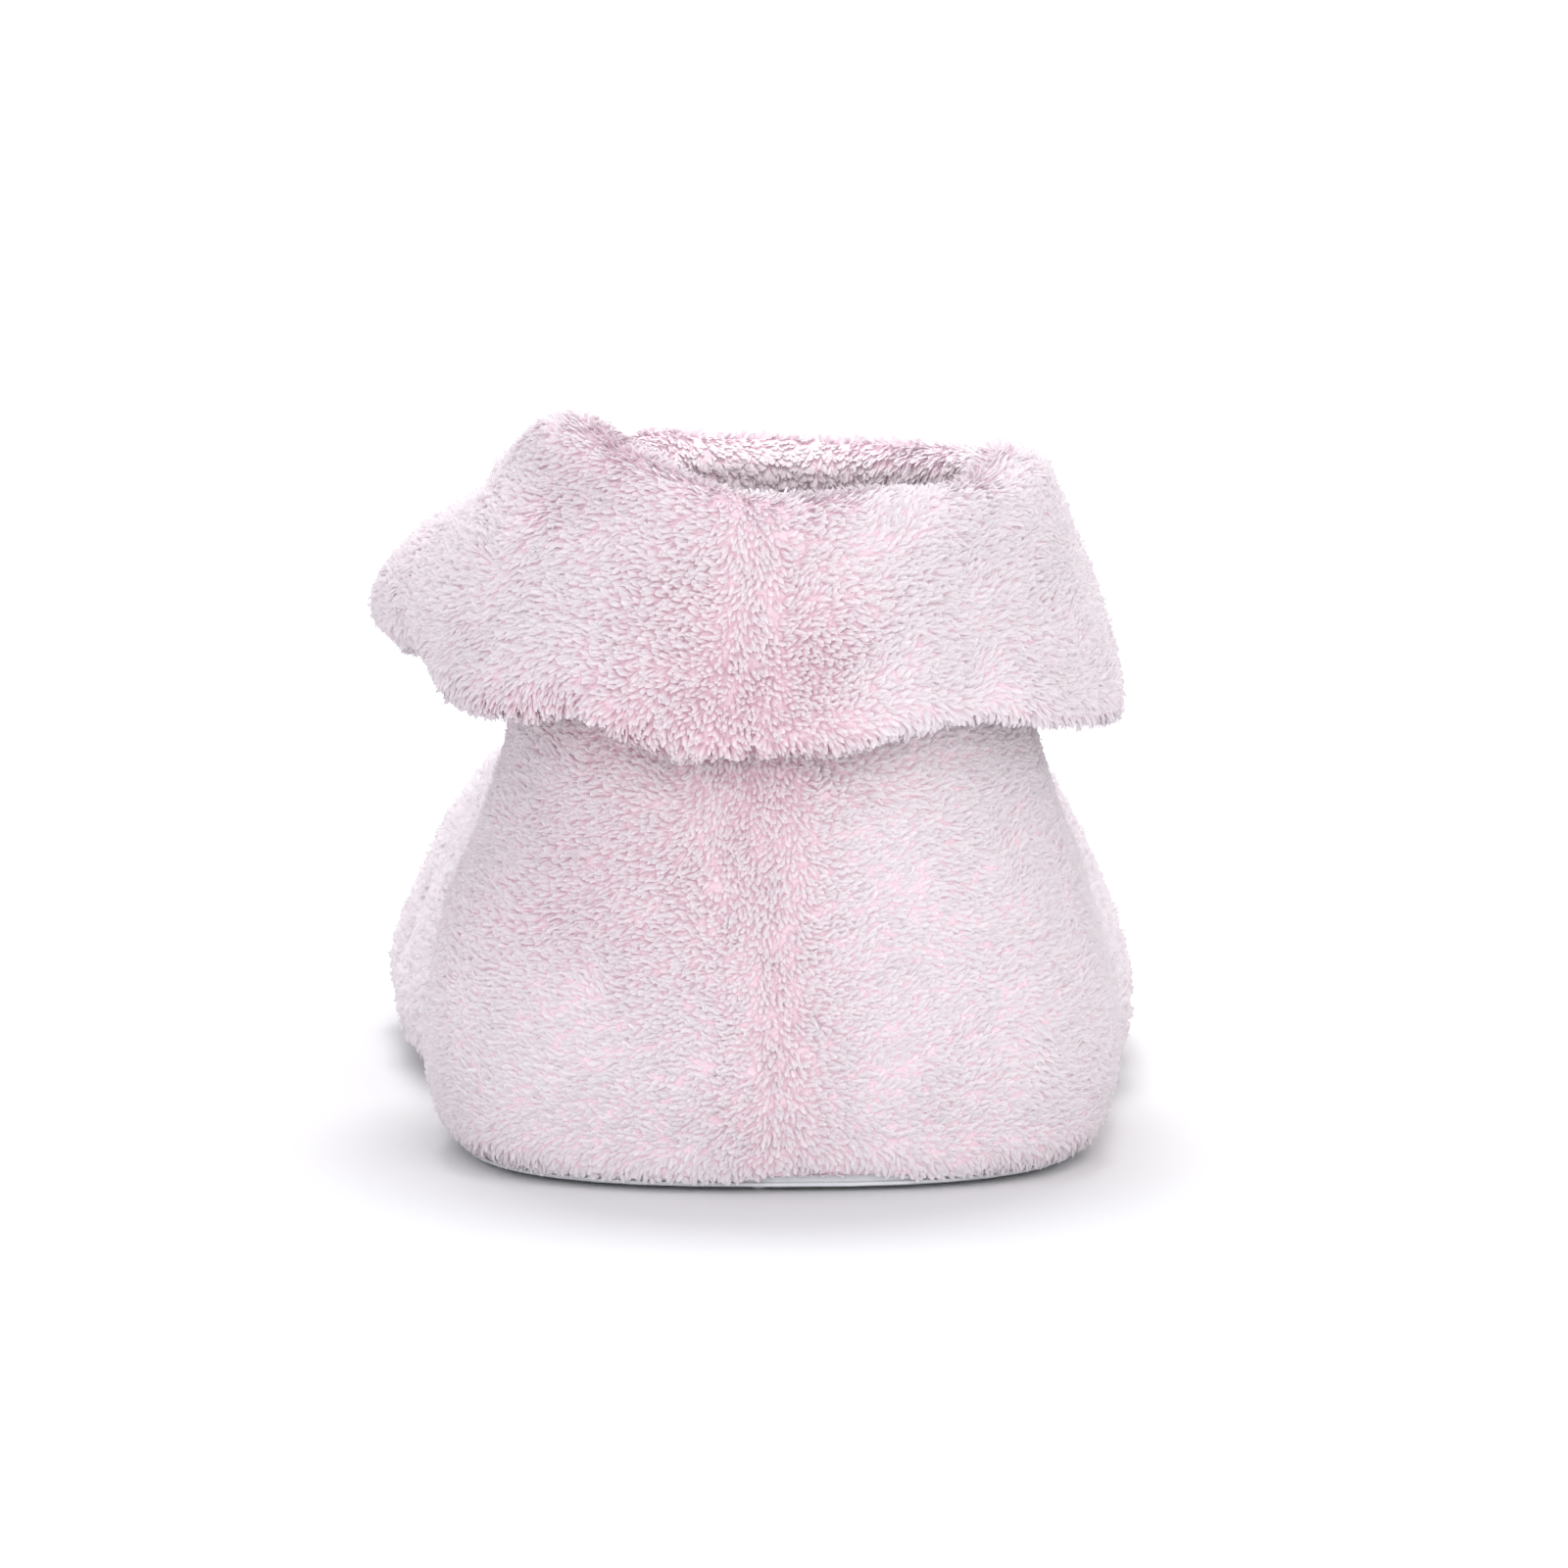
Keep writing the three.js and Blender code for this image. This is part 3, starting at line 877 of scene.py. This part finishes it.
def make_fur(name, parts, material):
    """Locks as mesh pieces, each under the limit."""
    corners, shading, tint, calm = parts
    shade_tone = np.maximum(0, 1 - (1 - np.array(LOCK_SHADE_TONES)) * (1 - CALM_SHADE_LIFT * calm[:, None]))
    count = len(corners)
    pieces = math.ceil(count / LOCK_LIMIT)
    for k in range(pieces):
        part = slice(count * k // pieces, count * (k + 1) // pieces)
        here = part.stop - part.start
        faces = (LOCK_CORNERS * np.arange(here))[:, None, None] + LOCK_FACES[None]
        values = {
            "shade_tone": shade_tone[part].ravel(),
            "across": np.tile(LOCK_SIDES, here),
            "tint": np.repeat(tint[part], LOCK_CORNERS),
        }
        label = name if pieces == 1 else f"{name}_{k + 1}"
        piece = mesh_piece(label, corners[part].reshape(-1, 3), [faces.reshape(-1, 3)], material, values)
        layer = piece.data.attributes.new("custom_normal", "FLOAT_VECTOR", "POINT")
        layer.data.foreach_set("vector", np.ascontiguousarray(shading[part], np.float32).ravel())


# Ruffled places, where the pile opens and its roots get deeper painted shade, as in the seams and the
# shade under the lifted hem: x, y, z, reach along each, amount
RUFFLES_AND_SHADE = [
    (-2, -50, 70, 16, 14, 13, 1.0),
    (-4, -46, 52, 9, 14, 13, 0.6),
    (-3, -46, 50, 3, 14, 10, 1.2),
    (-27, -38, 59, 16, 14, 6, 2.3),
    (-24, -38, 40, 16, 14, 12, 0.9),
    (-27, -34, 91, 10, 12, 6, 1.1),
    (14, -44, 54, 20, 14, 5, 1.2),
    (1, -46, 26, 3, 14, 24, 0.7),
]


def round_heel(points, normals):
    """Level directions away from the seam, round the heel, and whether each place is left of the seam."""
    left = from_seam(points) < 0
    side = np.where(left, -1.0, 1.0)
    return unit(np.cross(normals, UP) * -side[:, None]), left


FORWARD = np.array([0.0, 1.0, -0.25])
BODY_NAP, FRONT_NAP = 0.3, 0.1


def body_comb(points, normals):
    """Which way the body's pile lies: away from the seam on both sides, then on towards the toe."""
    around, left = round_heel(points, normals)
    around = around + np.where(left, -0.15, 0.2)[:, None] * UP
    forward = smooth((points[:, 1] - 30) / 70)[:, None]
    comb = mix(around, FORWARD, forward)
    across = np.abs(seam_offset(points))
    by_seam = smooth(1.2 - across / 9) * smooth((points[:, 2] - 26) / 14)
    comb = mix(comb, DOWN, by_seam[:, None])
    in_seam = smooth(1.3 - across / 3) * 0.9
    comb = mix(comb, DOWN, in_seam[:, None])
    low = smooth((7 - points[:, 2] + spring_at(points[:, 1] + HEEL_SETBACK)) / 5)
    comb = mix(comb, DOWN, low[:, None])
    comb = on_surface(comb, normals)
    nap = mix(BODY_NAP, FRONT_NAP, smooth((points[:, 1] - 10) / 40))
    return turned(comb, normals, nap * waves(31, points, 16) + 0.14 * waves(32, points, 5))


# Centre of the rosette on the cuff, its reach, and how the cuff's pile lies at the front
ROSETTE = np.array([-1.5, -50.0, 70.0])
ROSETTE_REACH = 12
CUFF_FRONT = np.array([0, 0.8, -0.7])


def cuff_comb(points, normals, place):
    """The cuff's pile: out from a rosette over the seam, round to the front, and down at the hem."""
    around, left = round_heel(points, normals)
    comb = around + np.where(left, -0.3, 0.15)[:, None] * UP
    front = smooth((points[:, 1] - 20) / 40)[:, None]
    comb = mix(comb, CUFF_FRONT, front)
    away = points - ROSETTE
    near = 0.45 * smooth(1.3 - np.linalg.norm(away, axis=-1) / ROSETTE_REACH)
    comb = mix(comb, unit(away) * 1.3, near[:, None])
    in_seam = smooth(1.3 - np.abs(seam_offset(points)) / 4) * 0.9
    comb = mix(comb, DOWN, in_seam[:, None])
    to_hem = smooth((place - (HEM_LOW - 3.5)) / 3)
    comb = mix(comb, DOWN, to_hem[:, None])
    inside = smooth((CREST + 0.2 - place) / 0.8)
    comb = mix(comb, DOWN, inside[:, None])
    comb = on_surface(comb, normals)
    return turned(comb, normals, 0.34 * waves(41, points, 13) + 0.16 * waves(42, points, 4.5))


# Locks at the front and at the rear: how many stand on a square millimetre, their length and their width
BODY_DENSITY, BODY_LENGTHS, BODY_WIDTHS = (1.45, 3.5), (2.7, 1.75), (1.15, 0.65)
CUFF_DENSITY, CUFF_LENGTHS, CUFF_WIDTHS = (1.45, 3.3), (2.7, 1.95), (1.15, 0.66)

# The same on the facing and the crest. How far under the flap the body's pile goes on
FOLD_DENSITY, FOLD_LENGTH, FOLD_WIDTH = 2.6, 1.8, 0.9
UNDER_FLAP = 9

# Lean of the locks from upright, in radians
BODY_LEAN, CUFF_LEAN, CREST_LEAN = 1.2, 1.15, 0.85


def make_body_fur():
    normals = grid_normals(body_grid)
    hidden = body_grid[..., 2] > hem_height(body_turns) + UNDER_FLAP
    rear = smooth((60 - body_grid[..., 1]) / 50)
    density = mix(*BODY_DENSITY, rear) * np.where(hidden, 0, 1)
    cells = scatter(body_grid, density)
    points, normal = sample(body_grid, cells), unit(sample(normals, cells))
    comb = body_comb(points, normal)
    rear = smooth((60 - points[:, 1]) / 50)
    lean = BODY_LEAN + 0.07 * waves(33, points, 16)
    length = mix(*BODY_LENGTHS, rear)
    lowest = mix(FLOOR_GAP, BARE_HEIGHT, bare_share(points))
    # Calm pile, on the right, low on the foot and towards the toe, lies flatter and gets less painted root
    # shade
    right = smooth((points[:, 0] - 2) / 12)
    foot = smooth((34 - points[:, 2]) / 20) * smooth((np.abs(seam_offset(points)) - 3) / 10)
    calm = np.maximum(np.maximum(right, foot), 1 - rear) - swellings(points, RUFFLES_AND_SHADE)
    parts = locks(points, normal, comb, length, lean, mix(*BODY_WIDTHS, rear), calm, lowest)
    make_fur("upper_pile", parts, plush)


def make_cuff_fur():
    rows = slice(PLACES_A_POINT * FACING_LOW, PLACES_A_POINT * (HEM_LOW + 3))
    grid, normals, place = cuff_grid[rows], cuff_normals[rows], cuff_place[rows]
    rear = smooth((50 - grid[..., 1]) / 50)
    front_density = mix(FOLD_DENSITY, CUFF_DENSITY[0], smooth((place - CREST - 1) / 2))
    density = mix(front_density, CUFF_DENSITY[1], rear)
    cells = scatter(grid, density)
    points, normal = sample(grid, cells), unit(sample(normals, cells))
    here = sample(place, cells)
    comb = cuff_comb(points, normal, here)
    upright = smooth(1.4 - np.abs(here - CREST) / 1.4)
    lean = mix(CUFF_LEAN, CREST_LEAN, upright) + 0.08 * waves(43, points, 14)
    rear = smooth((50 - points[:, 1]) / 50)
    on_flap = smooth((here - CREST - 1) / 3)
    length = mix(FOLD_LENGTH, mix(*CUFF_LENGTHS, rear), on_flap)
    length = length * mix(1, 0.6, smooth(here - HEM_LOW))
    # Calm pile, on the cuff's right and far left, towards the front and on the fold, lies flatter and gets
    # less painted root shade
    right = 0.85 * smooth((points[:, 0] - 4) / 14)
    left = 0.5 * smooth((-points[:, 0] - 14) / 12)
    # The facing and the inside of the fold are calm, so their painted root shade is lifted: painted light
    # for the shaded inside of the collar
    fold = smooth((CREST + 2.5 - here) / 2)
    calm = np.max([right, left, 1 - rear, fold], axis=0) - swellings(points, RUFFLES_AND_SHADE)
    width = mix(mix(FOLD_WIDTH, CUFF_WIDTHS[0], on_flap), CUFF_WIDTHS[1], rear)
    values = (points, normal, comb, length, lean, width, calm)
    inner = here < FACING_TOP + 1
    for name, share, material in (("cuff_pile", ~inner, plush), ("facing_pile", inner, lining_plush)):
        make_fur(name, locks(*(value[share] for value in values)), material)


# Pile inside: locks on a square millimetre, length and lean, on the lining and on the footbed
LINING_DENSITY, LINING_LENGTH, LINING_LEAN = 0.9, 2.8, 1.15
BED_DENSITY, BED_LENGTH, BED_LEAN = 0.7, 2.4, 1.2
# Width and calm of the inner locks; the calm lifts their painted root shade, as painted light for the
# shaded inside
INNER_WIDTH, INNER_CALM = 1.4, 0.8


def make_inner_fur(name, points, normal, comb, length, lean):
    """Pile inside the slipper, where all locks have one size."""
    length, lean, width, calm = (
        np.full(len(points), value) for value in (length, lean, INNER_WIDTH, INNER_CALM)
    )
    make_fur(name, locks(points, normal, comb, length, lean, width, calm), lining_plush)


def make_lining_fur():
    heights = lining_grid[..., 2]
    covered = edge_height(lining_turns) - FACING_DEPTH + 2
    seen = smooth((80 - lining_grid[..., 1]) / 30) * (heights > 9) * (heights < covered)
    cells = scatter(lining_grid, LINING_DENSITY * seen)
    points, normal = sample(lining_grid, cells), -unit(sample(grid_normals(lining_grid), cells))
    comb = on_surface(np.broadcast_to(DOWN, points.shape), normal)
    comb = turned(comb, normal, 0.5 * waves(51, points, 10))
    make_inner_fur("lining_pile", points, normal, comb, LINING_LENGTH, LINING_LEAN)


make_body_fur()
make_cuff_fur()
make_lining_fur()


# Footbed: row of the body that it follows, insets of its rings, height of its domed top, padding
BED_ROW = 0.8
BED_INSET, BED_FOOT_INSET = 0.9, 1.6
BED_DOME = 1.5
BED_RINGS = 20
SPINE_FROM_HEEL, SPINE_FROM_TOE = 38, 44


def bed_ring(inset, above):
    """A ring of the footbed: level with the lining's lowest part and drawn in by inset."""
    row = np.full(COLUMNS, BED_ROW)
    ring = body_point(turns, row) - (WALL + inset) * level_out(turns, row)
    ring[:, 2] = SOLE_THICKNESS + SEAT + above + spring_at(ring[:, 1] + HEEL_SETBACK)
    return ring


def shrink(ring, share):
    """Ring drawn towards the footbed's middle line, for the inner rings of a cap."""
    middle = ring.copy()
    spine = np.clip(ring[:, 1], ring[:, 1].min() + SPINE_FROM_HEEL, ring[:, 1].max() - SPINE_FROM_TOE)
    middle[:, 0] = middle_line((spine + HEEL_SETBACK) / BODY_LENGTH)
    middle[:, 1] = spine
    return mix(ring, middle, share)


def make_insole():
    """Padded footbed, domed a little, as rings from its lower edge to its middle line."""
    side = INSOLE_THICKNESS - BED_DOME
    rim = bed_ring(BED_INSET, side)
    rings = [bed_ring(BED_FOOT_INSET, 0.0), bed_ring(BED_INSET, 0.4 * INSOLE_THICKNESS), rim]
    for share in np.linspace(0, 1, BED_RINGS)[1:]:
        ring = shrink(rim, share)
        dome = BED_DOME * (1 - (1 - min(1, share * 6)) ** 2)
        height = SOLE_THICKNESS + SEAT + side + dome
        ring[:, 2] = height + spring_at(ring[:, 1] + HEEL_SETBACK)
        rings.append(ring)
    grid = np.array(rings)
    piece = mesh_piece("insole_cloth", grid.reshape(-1, 3), [grid_faces(len(grid), COLUMNS)], backing)
    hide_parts("insole")
    return grid


def make_insole_fur(grid):
    top = grid[2:]
    seen = smooth((120 - top[..., 1]) / 30)
    cells = scatter(top, BED_DENSITY * seen)
    points = sample(top, cells)
    normal = np.broadcast_to(UP, points.shape)
    to_toe = np.broadcast_to([0.0, 1.0, 0.0], points.shape)
    comb = turned(to_toe, normal, 0.7 * waves(61, points, 12))
    make_inner_fur("insole_pile", points, normal, comb, BED_LENGTH, BED_LEAN)


bed_grid = make_insole()
make_insole_fur(bed_grid)

# Tread: low round dots in staggered rows under the sole
DOT_PITCH, DOT_RADIUS, DOT_DEPTH, DOT_SIDES = 4.6, 1.1, 0.6, 8
DOT_SEAT = 0.15
DOT_MARGIN = 3.0
DOT_BROW = 0.75


def dot_centres():
    """Places of the dots inside the sole's outline, every other row shifted by half a pitch."""
    outline = sole_ring(PILE_OVER_SOLE + DOT_MARGIN, 0)
    half = COLUMNS // 2
    right, left = outline[: half + 1], outline[half:][::-1]
    rows = np.arange(outline[:, 1].min(), outline[:, 1].max(), DOT_PITCH * math.sqrt(0.75))
    columns = np.arange(-BALL_WIDTH / 2, BALL_WIDTH / 2, DOT_PITCH)
    y, x = np.meshgrid(rows, columns, indexing="ij")
    x = x + DOT_PITCH / 2 * (np.arange(len(rows))[:, None] % 2)
    inside = (x < np.interp(y, right[:, 1], right[:, 0])) & (x > np.interp(y, left[:, 1], left[:, 0]))
    return np.stack([x[inside], y[inside], spring_at(y[inside] + HEEL_SETBACK)], -1)


def make_tread():
    centre = dot_centres()
    angle = 2 * math.pi * np.arange(DOT_SIDES) / DOT_SIDES
    circle = np.stack([np.cos(angle), np.sin(angle), np.zeros(DOT_SIDES)], -1)
    base = DOT_RADIUS * circle + DOT_SEAT * UP
    brow = DOT_BROW * DOT_RADIUS * circle - DOT_BROW * DOT_DEPTH * UP
    dot = np.concatenate([base, brow, [-DOT_DEPTH * UP]])
    verts = (centre[:, None] + dot).reshape(-1, 3)
    corner = np.arange(DOT_SIDES)
    after = (corner + 1) % DOT_SIDES
    sides = np.stack([corner, corner + DOT_SIDES, after + DOT_SIDES, after], -1)
    caps = np.stack([corner + DOT_SIDES, np.full(DOT_SIDES, 2 * DOT_SIDES), after + DOT_SIDES], -1)
    first = (len(dot) * np.arange(len(centre)))[:, None, None]
    blocks = [(first + sides).reshape(-1, 4), (first + caps).reshape(-1, 3)]
    piece = mesh_piece("sole_tread", verts, blocks, rubber)


make_tread()

for slot_of_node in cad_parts["outsole"].material_slots:
    slot_of_node.material = rubber


# Floor and light: the floor's half side in metres, and its level just under the tread
FLOOR_REACH = 4.0
FLOOR_LEVEL = -0.65
FLOOR_GREYS = (0.78, 0.78, 0.785), (0.79, 0.79, 0.795)

# Suns: name, direction, softness in degrees, power and colour
SUNS = [
    ("back_light", (0.03, -0.45, -0.89), 28, 1.6, (1, 1, 1)),
    ("front_light", (0.0, 0.96, -0.26), 50, 1.68, (1, 0.98, 0.975)),
    ("key_light", (-0.3, 0.5, -0.8), 30, 0.3, (1, 0.975, 0.97)),
]

# Lamp over the collar: its place and aim in millimetres, radius in metres and cone in degrees
COLLAR_LIGHT = (0, -60, 190)
COLLAR_AIM = (0, 55, 84)
COLLAR_POWER, COLLAR_RADIUS, COLLAR_CONE, COLLAR_BLEND = 0.6, 0.015, 50, 0.4

# Room: colours at its left, behind the heel and at its right, and the white backdrop's strength
ROOM_LEFT = (0.66, 0.7, 0.78)
ROOM_BEHIND = (0.32, 0.32, 0.34)
ROOM_RIGHT = (0.74, 0.76, 0.8)
BACKDROP = (1.0, 1.0, 1.0)
BACKDROP_LEVEL = 1.12
HORIZON_WHITE, HORIZON_END = 0.08, 0.2
BLACK, WHITE = (0, 0, 0), (1, 1, 1)


def make_floor():
    material, tree, principled = shader("floor", roughness=0.8)
    dark, light = FLOOR_GREYS
    shade = ramp(tree, noise(tree, scale=3.0, detail=2.0), [(0.3, dark), (0.7, light)])
    tree.links.new(shade, principled.inputs["Base Color"])
    mesh = bpy.data.meshes.new("floor")
    corners = [(x * FLOOR_REACH, y * FLOOR_REACH, 0) for x, y in ((-1, -1), (1, -1), (1, 1), (-1, 1))]
    mesh.from_pydata(corners, [], [(0, 1, 2, 3)])
    mesh.materials.append(material)
    floor = add_object("floor", mesh)
    floor.location.z = FLOOR_LEVEL * MM


def add_sun(name, towards, softness, power, colour):
    """A broad lamp that shines along one direction."""
    data = bpy.data.lights.new(name, "SUN")
    data.angle = math.radians(softness)
    data.energy = power
    data.color = colour
    light = add_object(name, data)
    light.rotation_euler = Vector(towards).to_track_quat("-Z", "Y").to_euler()


def add_collar_light():
    """A small soft lamp over the opening, so that the lining is seen."""
    data = bpy.data.lights.new("collar_light", "SPOT")
    data.energy = COLLAR_POWER
    data.shadow_soft_size = COLLAR_RADIUS
    data.spot_size = math.radians(COLLAR_CONE)
    data.spot_blend = COLLAR_BLEND
    light = add_object("collar_light", data)
    light.location = Vector(COLLAR_LIGHT) * MM
    towards = Vector(COLLAR_AIM) - Vector(COLLAR_LIGHT)
    light.rotation_euler = towards.to_track_quat("-Z", "Y").to_euler()
    light.visible_camera = False


def make_world():
    """White beyond the toe and at the horizon, grey behind the heel and a little cool at both sides."""
    world = bpy.data.worlds.new("studio")
    world.use_nodes = True
    tree = world.node_tree
    place = tree.nodes.new("ShaderNodeTexCoord")
    split = tree.nodes.new("ShaderNodeSeparateXYZ")
    tree.links.new(place.outputs["Generated"], split.inputs[0])
    sideways = maths(tree, "MULTIPLY_ADD", split.outputs["X"], 0.5, 0.5)
    ahead = maths(tree, "MULTIPLY_ADD", split.outputs["Y"], 0.5, 0.5)
    room = ramp(tree, sideways, [(0.12, ROOM_LEFT), (0.5, ROOM_BEHIND), (0.88, ROOM_RIGHT)])
    colour = blend_colour(tree, room, BACKDROP, ramp(tree, ahead, [(0.45, BLACK), (0.7, WHITE)]))
    level = ramp(tree, split.outputs["Z"], [(HORIZON_WHITE, WHITE), (HORIZON_END, BLACK)])
    colour = blend_colour(tree, colour, BACKDROP, level)
    background = tree.nodes["Background"]
    tree.links.new(colour, background.inputs["Color"])
    background.inputs["Strength"].default_value = BACKDROP_LEVEL
    bpy.context.scene.world = world


make_floor()
make_world()
for sun in SUNS:
    add_sun(*sun)
add_collar_light()

bpy.context.scene.view_settings.view_transform = "Standard"
bpy.context.scene.view_settings.look = "None"
